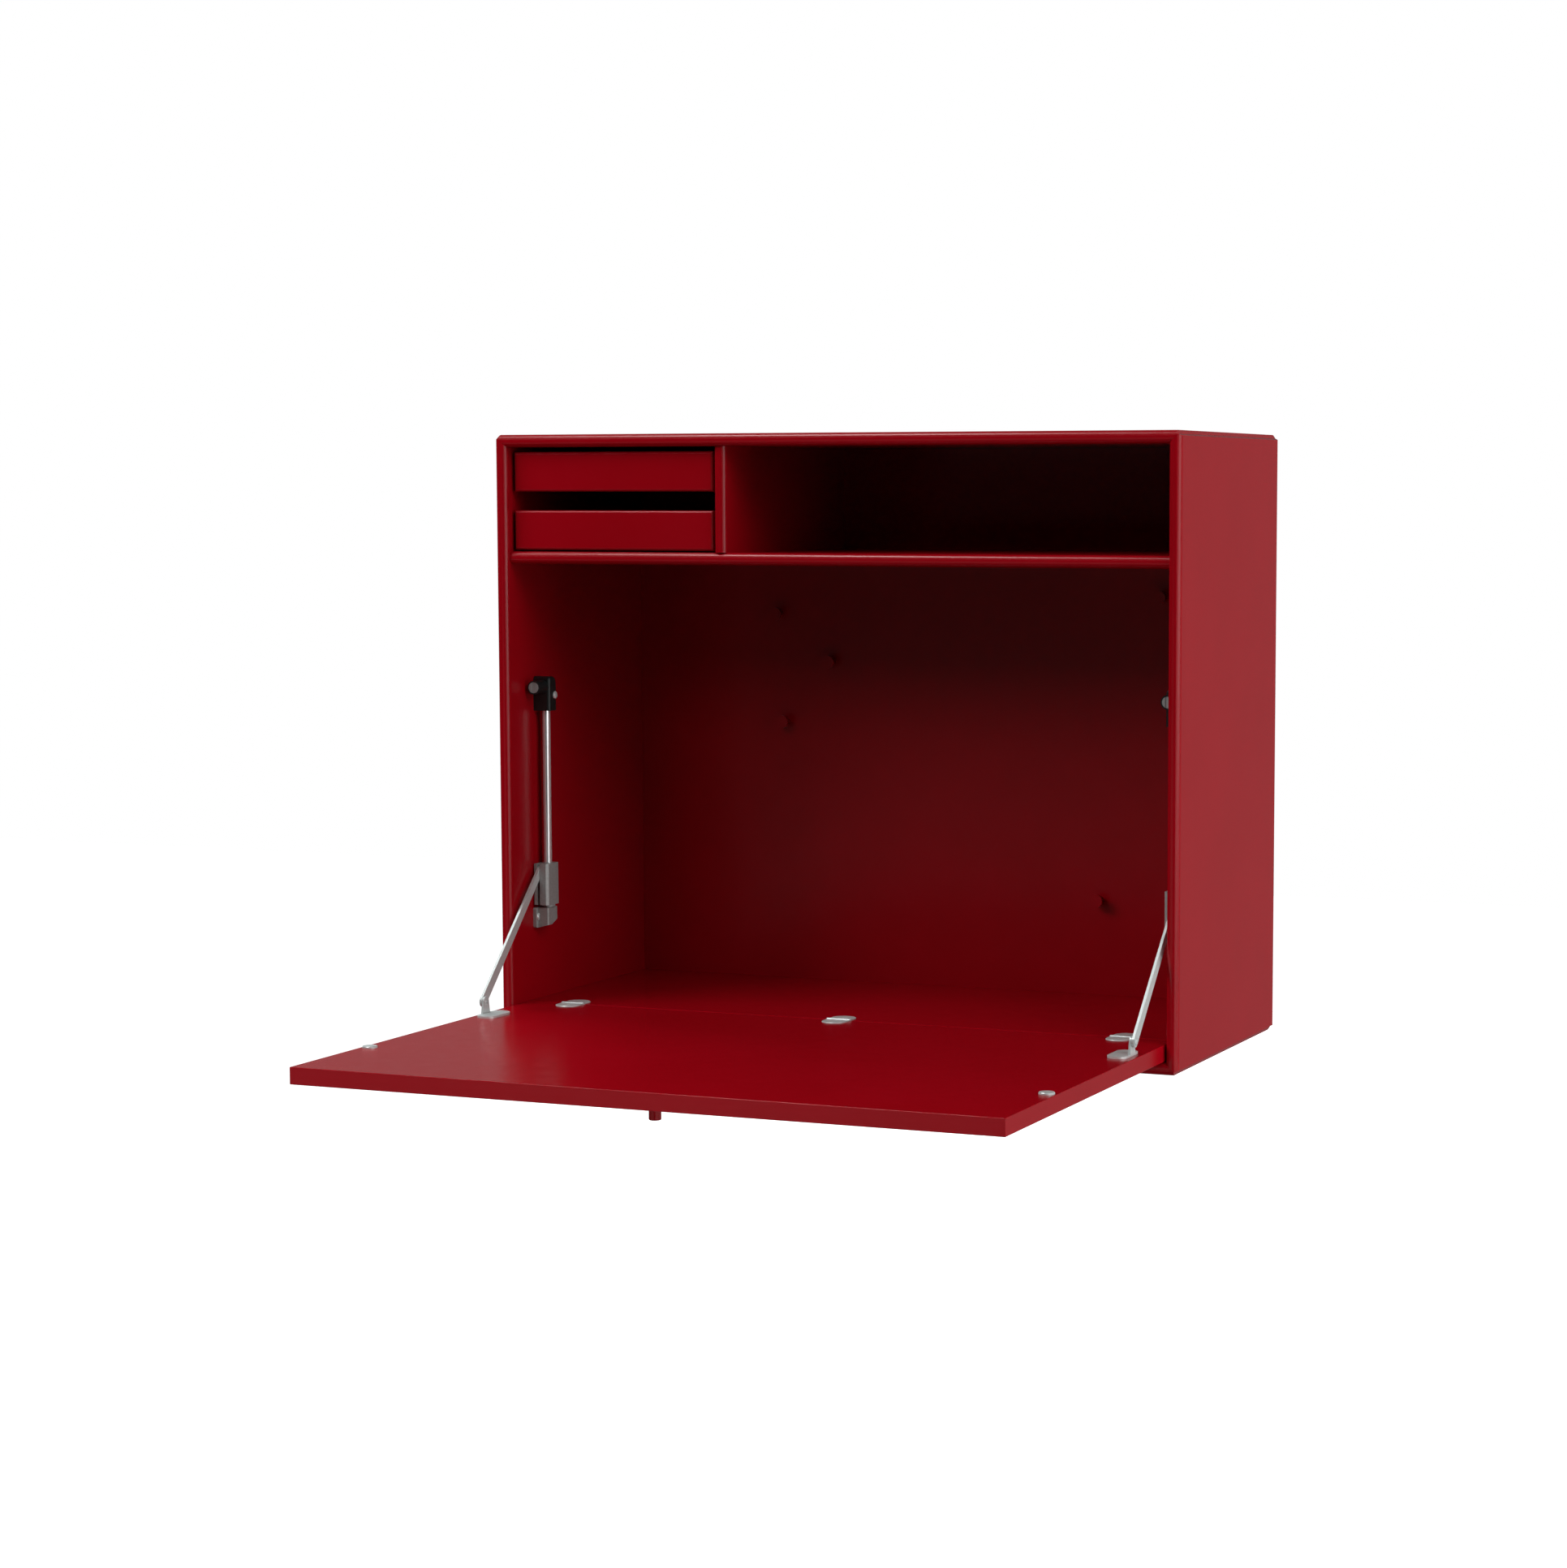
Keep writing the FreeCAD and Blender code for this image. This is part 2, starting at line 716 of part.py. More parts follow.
# An arm lies along local Z from its foot rivet, leaning back to the slider.
def make_arms():
    body = new_body("left_arm", inner_left + " + arm_inset",
                    hinge_line + " - foot_reach", floor_top + " + foot_rise")
    body.Placement.Rotation = FreeCAD.Rotation(x_axis, -1)
    tie(body, Placement__Rotation__Angle="-atan2({0}; {1})".format(arm_run, arm_rise))
    bar = new_sketch(body, "YZ_Plane")
    polygon(bar, [
        ("-arm_foot_width/2", "0"),
        ("arm_foot_width/2", "0"),
        ("arm_tip_width/2", arm_length),
        ("-arm_tip_width/2", arm_length),
    ])
    pad(body, bar, "arm_thickness")
    for height, width in (("0", "arm_foot_width"), (arm_length, "arm_tip_width")):
        end = new_sketch(body, "YZ_Plane")
        circle(end, "0", height, width + "/2")
        pad(body, end, "arm_thickness")
    holes = new_sketch(body, "YZ_Plane")
    circle(holes, "0", "0", "rivet_radius + running_gap")
    circle(holes, "0", arm_length, "slider_pin_radius + running_gap")
    pocket_through(body, holes)
    keep(body)
    keep(mirrored("right_arm", body))


# A slider is a die-cast block on the rod with a slot, open to the front and top, for the end of the arm.
def make_sliders():
    body = new_body("left_slider", inner_left, hinge_line, floor_top)
    plan = new_sketch(body, "XY_Plane", lift=slider_bottom)
    rectangle(plan, "slider_inset", "slider_front",
              "slider_inset + slider_width", "slider_front + slider_depth")
    block = pad(body, plan, "slider_height")
    middle_x = driving["slider_inset"] + driving["slider_width"] / 2
    middle_y = driving["slider_front"] + driving["slider_depth"] / 2

    def is_front_inner(edge):
        return edge.CenterOfMass.x > middle_x and edge.CenterOfMass.y < middle_y

    bevelled = dress(body, "Chamfer", block,
                     lambda edge: runs_along(edge, z_axis) and is_front_inner(edge),
                     Size="slider_chamfer")
    dress(body, "Fillet", bevelled,
          lambda edge: runs_along(edge, z_axis) and edge.CenterOfMass.y > middle_y,
          Radius="slider_round")
    collar = new_sketch(body, "XY_Plane", lift=slider_bottom)
    circle(collar, "rod_inset", "rod_setback", "collar_radius")
    pad(body, collar, "collar_length", backwards=True)
    slot = new_sketch(body, "XY_Plane", lift=slider_top)
    rectangle(slot, slot_start, "0", slot_end, "slider_pivot_setback + arm_tip_width/2 + arm_gap")
    pocket_through(body, slot)
    bore = new_sketch(body, "XY_Plane", lift=slider_top)
    circle(bore, "rod_inset", "rod_setback", "rod_radius + running_gap")
    pocket_through(body, bore)
    pin_hole = new_sketch(body, "YZ_Plane")
    circle(pin_hole, "slider_pivot_setback", "slider_pivot_height", "slider_pin_radius")
    pocket(body, pin_hole, slot_end + " + slider_pin_depth", backwards=True)
    keep(body)
    keep(mirrored("right_slider", body))


# The pin of the slider shows only in the two cheeks of the slot.
def make_slider_pins():
    ends = []
    for label, start, end in (
        ("outer", "slider_inset", slot_start),
        ("inner", slot_end, slot_end + " + slider_pin_depth"),
    ):
        ends.append(turned("left_{0}_pin_end".format(label), [
            ("0", start),
            ("slider_pin_radius", start),
            ("slider_pin_radius", end),
            ("0", end),
        ], inner_left, hinge_line + " + slider_pivot_setback",
            floor_top + " + slider_pivot_height", to_right))
    left = keep(group("left_slider_pin", ends))
    keep(mirrored("right_slider_pin", left))


def make_rods():
    rod = turned("left_guide_rod", [
        ("0", rod_bottom),
        ("rod_radius", rod_bottom),
        ("rod_radius", head_bottom + " + rod_in_head"),
        ("0", head_bottom + " + rod_in_head"),
    ], inner_left + " + rod_inset", hinge_line + " + rod_setback", floor_top)
    keep(rod)
    keep(mirrored("right_guide_rod", rod))


# Pan-headed screws hold the head and the end block of each stay to the cabinet side.
def make_stay_screws():
    screws = []
    for label, seat, back, up in (
        ("head", "head_width", "head_screw_setback", head_bottom + " + head_screw_rise"),
        ("block", "flange_thickness", "flange_screw_setback", block_bottom + " + flange_screw_rise"),
    ):
        screw = turned("left_{0}_screw".format(label), [
            ("0", seat + " + stay_screw_cap"),
            ("stay_screw_head/2", seat + " + stay_screw_cap"),
            ("stay_screw_head", seat + " + stay_screw_cap/2"),
            ("stay_screw_head", seat),
            ("stay_screw_radius", seat),
            ("stay_screw_radius", "-stay_screw_grip"),
            ("0", "-stay_screw_grip"),
        ], inner_left, "{0} + {1}".format(hinge_line, back), "{0} + {1}".format(floor_top, up), to_right)
        screws.append(screw)
        screws.append(mirrored("right_{0}_screw".format(label), screw))
    return keep(group("stay_screws", screws))


# The head of a stay carries the top of the rod and the magnet that holds the closed flap.
def make_heads(screws):
    body = new_body("left_head_blank", inner_left, hinge_line, floor_top)
    plan = new_sketch(body, "XY_Plane", lift=head_bottom)
    rectangle(plan, "0", "rod_setback - head_depth/2", "head_width", "rod_setback + head_depth/2")
    block = pad(body, plan, "head_height")
    inner = driving["head_width"]
    middle = driving["catch_height"] + driving["boss_radius"] - driving["head_height"] / 2
    axis = driving["rod_setback"]

    def is_top_across(edge):
        return runs_along(edge, x_axis) and edge.CenterOfMass.z > middle

    rounded = dress(body, "Fillet", block,
                    lambda edge: is_top_across(edge) and edge.CenterOfMass.y > axis,
                    Radius="head_back_round")

    def shows(edge):
        if is_top_across(edge):
            return edge.CenterOfMass.y < axis - 1
        return abs(edge.CenterOfMass.x - inner) < 0.01 and edge.BoundBox.ZMax > middle

    dress(body, "Fillet", rounded, shows, Radius="head_round")
    boss = new_sketch(body, "XZ_Plane", lift="-rod_setback")
    circle(boss, "rod_inset", "catch_height", "boss_radius")
    pad(body, boss, "rod_setback - disc_thickness - catch_gap")
    seat = new_sketch(body, "XZ_Plane", lift="-(disc_thickness + catch_gap)")
    circle(seat, "rod_inset", "catch_height", "magnet_radius")
    pocket(body, seat, "magnet_length")
    socket = new_sketch(body, "XY_Plane", lift=head_bottom)
    circle(socket, "rod_inset", "rod_setback", "rod_radius")
    pocket(body, socket, "rod_in_head", backwards=True)
    left = keep(cut("left_stay_head", body, screws))
    keep(mirrored("right_stay_head", left))


def make_catch_magnets():
    body = new_body("left_catch_magnet", inner_left + " + rod_inset",
                    hinge_line + " + disc_thickness + catch_gap + magnet_length",
                    floor_top + " + catch_height")
    face = new_sketch(body, "XZ_Plane")
    circle(face, "0", "0", "magnet_radius")
    pad(body, face, "magnet_length")
    band = new_sketch(body, "XZ_Plane", lift="magnet_length")
    rectangle(band, "-magnet_slot_width/2", "-magnet_radius", "magnet_slot_width/2", "magnet_radius")
    pocket(body, band, "magnet_slot_depth")
    keep(body)
    keep(mirrored("right_catch_magnet", body))


# The end block holds the foot of the rod and is screwed on through a flange in front of it.
def make_end_blocks(screws):
    body = new_body("left_block_blank", inner_left, hinge_line, floor_top)
    plan = new_sketch(body, "XY_Plane", lift=block_bottom)
    rectangle(plan, "0", "rod_setback - block_depth/2", "block_width", "rod_setback + block_depth/2")
    block = pad(body, plan, "block_height")
    inner = driving["block_width"]
    dress(body, "Fillet", block,
          lambda edge: runs_along(edge, z_axis) and abs(edge.CenterOfMass.x - inner) < 0.01,
          Radius="block_round")
    flange = new_sketch(body, "YZ_Plane")
    rectangle(flange, "flange_front", block_bottom, "rod_setback", block_top)
    plate = pad(body, flange, "flange_thickness")
    front = driving["flange_front"]
    dress(body, "Fillet", plate,
          lambda edge: runs_along(edge, x_axis) and abs(edge.CenterOfMass.y - front) < 0.01,
          Radius="flange_round")
    slant = new_sketch(body, "YZ_Plane")
    polygon(slant, [
        ("rod_setback - block_depth/2", block_bottom),
        ("rod_setback + block_depth/2", block_bottom + " + block_slant"),
        ("rod_setback + block_depth", block_bottom + " + block_slant"),
        ("rod_setback + block_depth", block_bottom + " - block_slant"),
        ("rod_setback - block_depth/2", block_bottom + " - block_slant"),
    ])
    pocket_through(body, slant)
    rise = new_sketch(body, "XZ_Plane")
    polygon(rise, [
        ("flange_thickness", block_bottom),
        ("block_width", block_bottom + " + block_rise"),
        ("2*block_width", block_bottom + " + block_rise"),
        ("2*block_width", block_bottom + " - block_rise"),
        ("flange_thickness", block_bottom + " - block_rise"),
    ])
    pocket_through(body, rise)
    socket = new_sketch(body, "XY_Plane", lift=block_top)
    circle(socket, "rod_inset", "rod_setback", "rod_radius")
    pocket(body, socket, "rod_in_block")
    left = keep(cut("left_end_block", body, screws))
    keep(mirrored("right_end_block", left))


def make_cabinet(stay_screws):
    keep(mitred_board("top_panel", "width", "0", cabinet_top, 0))
    keep(mitred_board("bottom_panel", "width", "0", cabinet_bottom, 180))
    middle = "screw_drop - height/2"
    for side, x, angle in (("left", "-width/2", -90), ("right", "width/2", 90)):
        board = mitred_board(side + "_side_blank", "height", x, middle, angle)
        keep(cut(side + "_side_panel", board, stay_screws))
    make_back()
    make_shelf()
    make_divider()
    make_battens()


def make_runners():
    rails = []
    reach = "(tray_gap + runner_engage)"
    for label, rise in (("lower", "0"), ("upper", tray_pitch)):
        level = "{0} + tray_lift + runner_rise + {1}".format(shelf_top, rise)
        for side, x in (
            ("left", "{0} + {1}/2".format(inner_left, reach)),
            ("right", "{0} + tray_bay - {1}/2".format(inner_left, reach)),
        ):
            rails.append(plain_panel("{0}_{1}_runner".format(label, side), reach,
                                     tray_run + " - runner_setback - runner_back_gap", "runner_height",
                                     x, tray_front_face + " + tray_front + runner_setback", level))
    keep(group("tray_runners", rails))


def make_tray(label, rise):
    level = "{0} + tray_lift + {1}".format(shelf_top, rise)
    behind = tray_front_face + " + tray_front"
    inside = "({0} - 2*tray_wall)".format(tray_width)
    front = keep(new_body(label + "_tray_front", tray_centre, tray_front_face, level))
    plan = new_sketch(front, "XY_Plane")
    rectangle(plan, "-{0}/2".format(tray_width), "0", "{0}/2".format(tray_width), "tray_front")
    blank = pad(front, plan, tray_height)
    dress(front, "Fillet", blank, lambda edge: edge.CenterOfMass.y < 0.01, Radius="tray_front_round")
    walls = []
    for side, sign in (("left", -1), ("right", 1)):
        x = "{0} + {1}*({2}/2 - tray_wall/2)".format(tray_centre, sign, tray_width)
        wall = plain_panel("{0}_tray_{1}_side".format(label, side), "tray_wall", tray_run, tray_height,
                           x, behind, level)
        channel = new_sketch(wall, "XZ_Plane", lift="-" + tray_run)
        outer = "{0}*tray_wall/2".format(sign)
        deep = "{0}*(tray_wall/2 - runner_engage - runner_gap)".format(sign)
        rectangle(channel, deep, "runner_rise - runner_gap",
                  outer, "runner_rise + runner_height + runner_gap")
        pocket(wall, channel, tray_run + " - runner_setback + runner_gap", backwards=True)
        walls.append(wall)
    keep(group(label + "_tray_sides", walls))
    keep(plain_panel(label + "_tray_back", inside, "tray_wall", tray_height,
                     tray_centre, "{0} + {1} - tray_wall".format(behind, tray_run), level))
    keep(plain_panel(label + "_tray_bottom", inside, tray_run + " - tray_wall", "tray_bottom",
                     tray_centre, behind, level + " + tray_bottom_rise"))


def make_pegs():
    places = {
        "one": ("peg_one_across - width/2", shelf_under + " - peg_one_down"),
        "two": ("peg_two_across - width/2", shelf_under + " - peg_two_down"),
        "three": ("peg_three_across - width/2", shelf_under + " - peg_three_down"),
        "four": ("width/2 - peg_four_across", shelf_under + " - peg_four_down"),
        "five": ("width/2 - peg_five_across", floor_top + " + peg_five_up"),
    }
    profile = [
        ("0", "0"),
        ("peg_foot_radius", "0"),
        ("peg_foot_radius", "peg_foot_length"),
        ("peg_head_radius", "peg_length - peg_head_length"),
        ("peg_head_radius", "peg_length"),
        ("0", "peg_length"),
    ]
    for number, (x, z) in places.items():
        keep(turned("peg_magnet_" + number, profile, x, back_face + " - sheet_thickness", z, to_front))


def check_and_export():
    doc.recompute()
    for thing in doc.Objects:
        if "Invalid" in thing.State or "Error" in thing.State:
            raise RuntimeError("failed feature: " + thing.Label)
        if thing.TypeId == "PartDesign::Pocket":
            if thing.BaseFeature.Shape.Volume - thing.Shape.Volume < 0.01:
                raise RuntimeError("a pocket removes nothing: " + thing.Label)
    for node in nodes:
        if node.Shape.isNull() or not node.Shape.isValid():
            raise RuntimeError("bad shape: " + node.Label)
    os.makedirs("parts", exist_ok=True)
    for node in nodes:
        node.Shape.exportStep("parts/" + node.Label + ".step")
        print(node.Label, len(node.Shape.Solids), round(node.Shape.Volume))


fill_sheet()
make_floor()
make_hinge_pins()
make_flap()
make_arms()
make_sliders()
make_slider_pins()
make_rods()
screws_of_stays = make_stay_screws()
make_heads(screws_of_stays)
make_catch_magnets()
make_end_blocks(screws_of_stays)
make_cabinet(screws_of_stays)
make_runners()
make_tray("upper", tray_pitch)
make_tray("lower", "0")
make_pegs()
check_and_export()
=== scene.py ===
import json
from math import pi, radians

import bmesh
import bpy
from mathutils import Matrix, Vector


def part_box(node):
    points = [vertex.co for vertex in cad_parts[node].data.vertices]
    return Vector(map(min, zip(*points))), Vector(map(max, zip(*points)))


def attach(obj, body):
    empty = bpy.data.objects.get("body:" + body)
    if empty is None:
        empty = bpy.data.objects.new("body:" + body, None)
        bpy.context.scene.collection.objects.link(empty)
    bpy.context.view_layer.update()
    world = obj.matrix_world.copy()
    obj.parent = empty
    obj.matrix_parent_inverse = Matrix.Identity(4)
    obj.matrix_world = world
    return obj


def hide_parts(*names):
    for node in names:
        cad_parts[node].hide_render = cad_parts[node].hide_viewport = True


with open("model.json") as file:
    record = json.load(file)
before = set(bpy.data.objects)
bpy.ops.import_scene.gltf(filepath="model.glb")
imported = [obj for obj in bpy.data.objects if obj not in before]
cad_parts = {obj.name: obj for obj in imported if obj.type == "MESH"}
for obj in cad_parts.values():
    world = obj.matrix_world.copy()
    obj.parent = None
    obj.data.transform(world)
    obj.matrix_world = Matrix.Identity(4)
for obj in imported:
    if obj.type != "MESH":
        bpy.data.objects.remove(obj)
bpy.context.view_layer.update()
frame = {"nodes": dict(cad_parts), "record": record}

scene = bpy.context.scene
scene.view_settings.view_transform = "Standard"
print("frame loaded:", len(frame["nodes"]), "solids")

# camera, at the height of the upper compartment and to the right
cameraView = {
    "place": (1.3218, -3.2479, 0.0144),
    "turn": (84.308, 0.010, 21.951),  # degrees
    "sensor": 36,  # mm
    "lens": 79.541,  # mm
    "shift": (-0.1111, 0.0357),
}


def addCamera(spec):
    lens = bpy.data.cameras.new("camera")
    lens.sensor_fit = "HORIZONTAL"
    lens.sensor_width = spec["sensor"]
    lens.lens = spec["lens"]
    lens.shift_x, lens.shift_y = spec["shift"]
    camera = bpy.data.objects.new("camera", lens)
    camera.location = spec["place"]
    camera.rotation_euler = [radians(angle) for angle in spec["turn"]]
    scene.collection.objects.link(camera)
    scene.camera = camera


addCamera(cameraView)

noiseSpan = (0.3, 0.7)  # where nearly all values of a noise lie


# small helpers for node trees
def newMaterial(name):
    material = bpy.data.materials.new(name)
    material.use_nodes = True
    return material, material.node_tree, material.node_tree.nodes["Principled BSDF"]


def objectCoords(tree, stretch):
    coords = tree.nodes.new("ShaderNodeTexCoord")
    mapping = tree.nodes.new("ShaderNodeMapping")
    mapping.inputs["Scale"].default_value = stretch
    tree.links.new(coords.outputs["Object"], mapping.inputs["Vector"])
    return mapping.outputs["Vector"]


def noise(tree, vector, scale, detail, rough):
    node = tree.nodes.new("ShaderNodeTexNoise")
    node.inputs["Scale"].default_value = scale
    node.inputs["Detail"].default_value = detail
    node.inputs["Roughness"].default_value = rough
    tree.links.new(vector, node.inputs["Vector"])
    return node.outputs["Fac"]


def remap(tree, value, old, new):
    node = tree.nodes.new("ShaderNodeMapRange")
    node.inputs["From Min"].default_value, node.inputs["From Max"].default_value = old
    node.inputs["To Min"].default_value, node.inputs["To Max"].default_value = new
    tree.links.new(value, node.inputs["Value"])
    return node.outputs["Result"]


def ramp(tree, value, stops, tones):
    node = tree.nodes.new("ShaderNodeValToRGB")
    for element, place, tone in zip(node.color_ramp.elements, stops, tones):
        element.position = place
        element.color = (*tone, 1)
    tree.links.new(value, node.inputs["Fac"])
    return node.outputs["Color"]


def bump(tree, height, strength, distance):
    node = tree.nodes.new("ShaderNodeBump")
    node.inputs["Strength"].default_value = strength
    node.inputs["Distance"].default_value = distance
    tree.links.new(height, node.inputs["Height"])
    return node.outputs["Normal"]


# A finish has two tones with their stops on a noise, a span of roughness (gloss) on a noise, and most have a relief,
# a bump's strength and depth in metres, on a noise. Each noise is (ripples per metre, detail, roughness).
def finishMaterial(name, spec):
    material, tree, shader = newMaterial(name)
    shader.inputs["Metallic"].default_value = spec.get("metallic", 0.0)
    shader.inputs["Specular IOR Level"].default_value = spec.get("specular", 0.5)
    vector = objectCoords(tree, spec.get("stretch", (1, 1, 1)))
    used = dict.fromkeys(spec[part] for part in ("toneNoise", "glossNoise", "reliefNoise") if part in spec)
    fields = {field: noise(tree, vector, *field) for field in used}
    tone = ramp(tree, fields[spec["toneNoise"]], spec["stops"], spec["tones"])
    tree.links.new(tone, shader.inputs["Base Color"])
    gloss = remap(tree, fields[spec["glossNoise"]], noiseSpan, spec["gloss"])
    tree.links.new(gloss, shader.inputs["Roughness"])
    if "relief" in spec:
        tree.links.new(bump(tree, fields[spec["reliefNoise"]], *spec["relief"]), shader.inputs["Normal"])
    return material


# satin lacquer sprayed on board: even red with a faint orange peel
lacquer = {
    "tones": ((0.300, 0.0008, 0.0054), (0.314, 0.0010, 0.0062)), "stops": (0.35, 0.65), "toneNoise": (9, 2, 0.5),
    "gloss": (0.22, 0.26), "glossNoise": (60, 3, 0.5),
    "relief": (0.025, 0.0006), "reliefNoise": (420, 1, 0.5),
    "specular": 0.35,
}

# powder-coated steel: the same red, finer and flatter than the lacquer
coatedSteel = {
    "tones": ((0.296, 0.0008, 0.0054), (0.310, 0.0010, 0.0062)), "stops": (0.35, 0.65), "toneNoise": (24, 2, 0.5),
    "gloss": (0.30, 0.36), "glossNoise": (1100, 2, 0.5),
    "relief": (0.05, 0.0003), "reliefNoise": (1100, 2, 0.5),
    "specular": 0.35,
}

# satin nickel on pressed steel, finely grained
nickel = {
    "tones": ((0.61, 0.67, 0.66), (0.69, 0.75, 0.74)), "stops": (0.3, 0.7), "toneNoise": (900, 2, 0.5),
    "gloss": (0.29, 0.36), "glossNoise": (900, 2, 0.5),
    "relief": (0.015, 0.0001), "reliefNoise": (900, 2, 0.5),
    "metallic": 0.4,
}

# ground and chromed rod, drawn marks along its length
chrome = {
    "tones": ((0.79, 0.81, 0.81), (0.84, 0.86, 0.86)), "stops": (0.3, 0.7), "toneNoise": (1400, 2, 0.5),
    "gloss": (0.10, 0.15), "glossNoise": (1400, 2, 0.5),
    "stretch": (1, 1, 0.02), "metallic": 0.6,
}

# die-cast zinc, tumbled to a soft grey
zinc = {
    "tones": ((0.31, 0.35, 0.34), (0.36, 0.40, 0.39)), "stops": (0.35, 0.65), "toneNoise": (400, 4, 0.5),
    "gloss": (0.29, 0.38), "glossNoise": (400, 4, 0.5),
    "relief": (0.06, 0.0002), "reliefNoise": (1500, 2, 0.5),
    "metallic": 0.25,
}

# moulded black nylon, spark-eroded surface
nylon = {
    "tones": ((0.005, 0.009, 0.009), (0.008, 0.013, 0.013)), "stops": (0.3, 0.7), "toneNoise": (1800, 2, 0.5),
    "gloss": (0.36, 0.48), "glossNoise": (1800, 2, 0.5),
    "relief": (0.12, 0.0002), "reliefNoise": (1800, 2, 0.5),
}

# birch plywood strips behind the cabinet, grain along the strip
plywood = {
    "tones": ((0.44, 0.29, 0.15), (0.56, 0.41, 0.25)), "stops": (0.35, 0.65), "toneNoise": (90, 6, 0.6),
    "gloss": (0.55, 0.7), "glossNoise": (90, 6, 0.6),
    "relief": (0.2, 0.0004), "reliefNoise": (90, 6, 0.6),
    "stretch": (0.06, 1, 1),
}

finishes = {
    "red_lacquer": finishMaterial("redLacquer", lacquer),
    "red_steel": finishMaterial("redPowderCoat", coatedSteel),
    "nickel_steel": finishMaterial("satinNickel", nickel),
    "chrome_rod": finishMaterial("chromedRod", chrome),
    "zinc_casting": finishMaterial("tumbledZinc", zinc),
    "black_plastic": finishMaterial("blackNylon", nylon),
    "bare_batten": finishMaterial("birchPlywood", plywood),
}

for entry in frame["record"]["subparts"]:
    solid = frame["nodes"][entry["node"]]
    for slot in solid.material_slots:
        slot.material = finishes[entry["material_slot"]]
print("finishes given to the solids")

# how screws and rivets are meshed
meshing = {
    "steps": 32,  # round a turned piece
    "weld": 1e-6,  # metres
    "sharp": 32,  # degrees between faces that meet in a sharp edge
    "recessTaper": (0.4, 0.75, 1),  # foot of a cross recess against its mouth
}


# turned pieces: a profile of (radius, height) spun once round
def turnedMesh(name, profile):
    lathe = bmesh.new()
    line = [lathe.verts.new((radius, 0, height)) for radius, height in profile]
    edges = [lathe.edges.new(pair) for pair in zip(line, line[1:])]
    bmesh.ops.spin(
        lathe, geom=line + edges, cent=(0, 0, 0), axis=(0, 0, 1), angle=2 * pi, steps=meshing["steps"], use_merge=True
    )
    bmesh.ops.remove_doubles(lathe, verts=lathe.verts, dist=meshing["weld"])
    bmesh.ops.recalc_face_normals(lathe, faces=lathe.faces)
    mesh = bpy.data.meshes.new(name)
    lathe.to_mesh(mesh)
    lathe.free()
    return mesh


def crossRecess(mesh, top, spec):
    screw = bpy.data.objects.new("screwBlank", mesh)
    scene.collection.objects.link(screw)
    cutters = []
    for turn in (0, 90):
        bar = bmesh.new()
        bmesh.ops.create_cube(bar, size=1)
        bmesh.ops.scale(bar, verts=bar.verts, vec=(spec["bar"], spec["slot"], 2 * spec["depth"]))
        foot = [vert for vert in bar.verts if vert.co.z < 0]
        bmesh.ops.scale(bar, verts=foot, vec=meshing["recessTaper"])
        bmesh.ops.rotate(bar, verts=bar.verts, matrix=Matrix.Rotation(radians(turn), 3, "Z"))
        bmesh.ops.translate(bar, verts=bar.verts, vec=(0, 0, top))
        barMesh = bpy.data.meshes.new("recessBar")
        bar.to_mesh(barMesh)
        bar.free()
        cutter = bpy.data.objects.new("recessBar", barMesh)
        scene.collection.objects.link(cutter)
        cutters.append(cutter)
        sunk = screw.modifiers.new("recess", "BOOLEAN")
        sunk.operation = "DIFFERENCE"
        sunk.solver = "EXACT"
        sunk.object = cutter
    made = bpy.data.meshes.new_from_object(screw.evaluated_get(bpy.context.evaluated_depsgraph_get()))
    for spare in cutters + [screw]:
        bpy.data.objects.remove(spare)
    return made


# one piece out of several meshes, each at its place, that stands for a plain solid
def setOut(name, copies, body, node, slot):
    whole = bmesh.new()
    for mesh, place in copies:
        copy = mesh.copy()
        copy.transform(place)
        whole.from_mesh(copy)
        bpy.data.meshes.remove(copy)
    made = bpy.data.meshes.new(name)
    whole.to_mesh(made)
    whole.free()
    made.shade_smooth()
    made.set_sharp_from_angle(angle=radians(meshing["sharp"]))
    piece = bpy.data.objects.new(name, made)
    scene.collection.objects.link(piece)
    made.materials.clear()
    made.materials.append(finishes[slot])
    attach(piece, body)
    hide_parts(node)


# screws with sunk heads, level with z = 0
def countersunk(name, spec):
    head, shank = spec["head"], spec["shank"]
    rim = 0.04 * head
    profile = [
        (0, 0), (head - rim, 0), (head, -rim), (head, -2 * rim),
        (shank, shank - head), (shank, -spec["length"] + shank), (0, -spec["length"]),
    ]
    return crossRecess(turnedMesh(name, profile), 0, spec)


def upright(place, turn):
    return Matrix.Translation(place) @ Matrix.Rotation(radians(turn), 4, "Z")


# the axis of a piece that lies across the cabinet, its top towards the middle
def lying(place, side):
    return Matrix.Translation(place) @ Matrix.Rotation(radians(-90 * side), 4, "Y")


# hinge screws, level with the tops of the leaves (metres, and degrees for turns)
hingeScrew = {
    "head": 0.0030, "shank": 0.0015, "length": 0.011,
    "bar": 0.0034, "slot": 0.0008, "depth": 0.0013,
    "stations": (-0.285, 0.0, 0.285), "turns": (20, 65, 40), "reach": 0.013,
    "line": (-0.270, -0.4812),  # y of the hinge axis, z of the leaf tops
}


def addHingeScrews(spec):
    y, z = spec["line"]
    mesh = countersunk("hingeScrew", spec)
    for name, reach, body, node in (
        ("floorHingeScrews", spec["reach"], "cabinet", "floor_hinge_screws"),
        ("flapHingeScrews", -spec["reach"], "flap", "flap_hinge_screws"),
    ):
        places = [upright((x, y + reach, z), turn) for x, turn in zip(spec["stations"], spec["turns"])]
        setOut(name, [(mesh, place) for place in places], body, node, "nickel_steel")


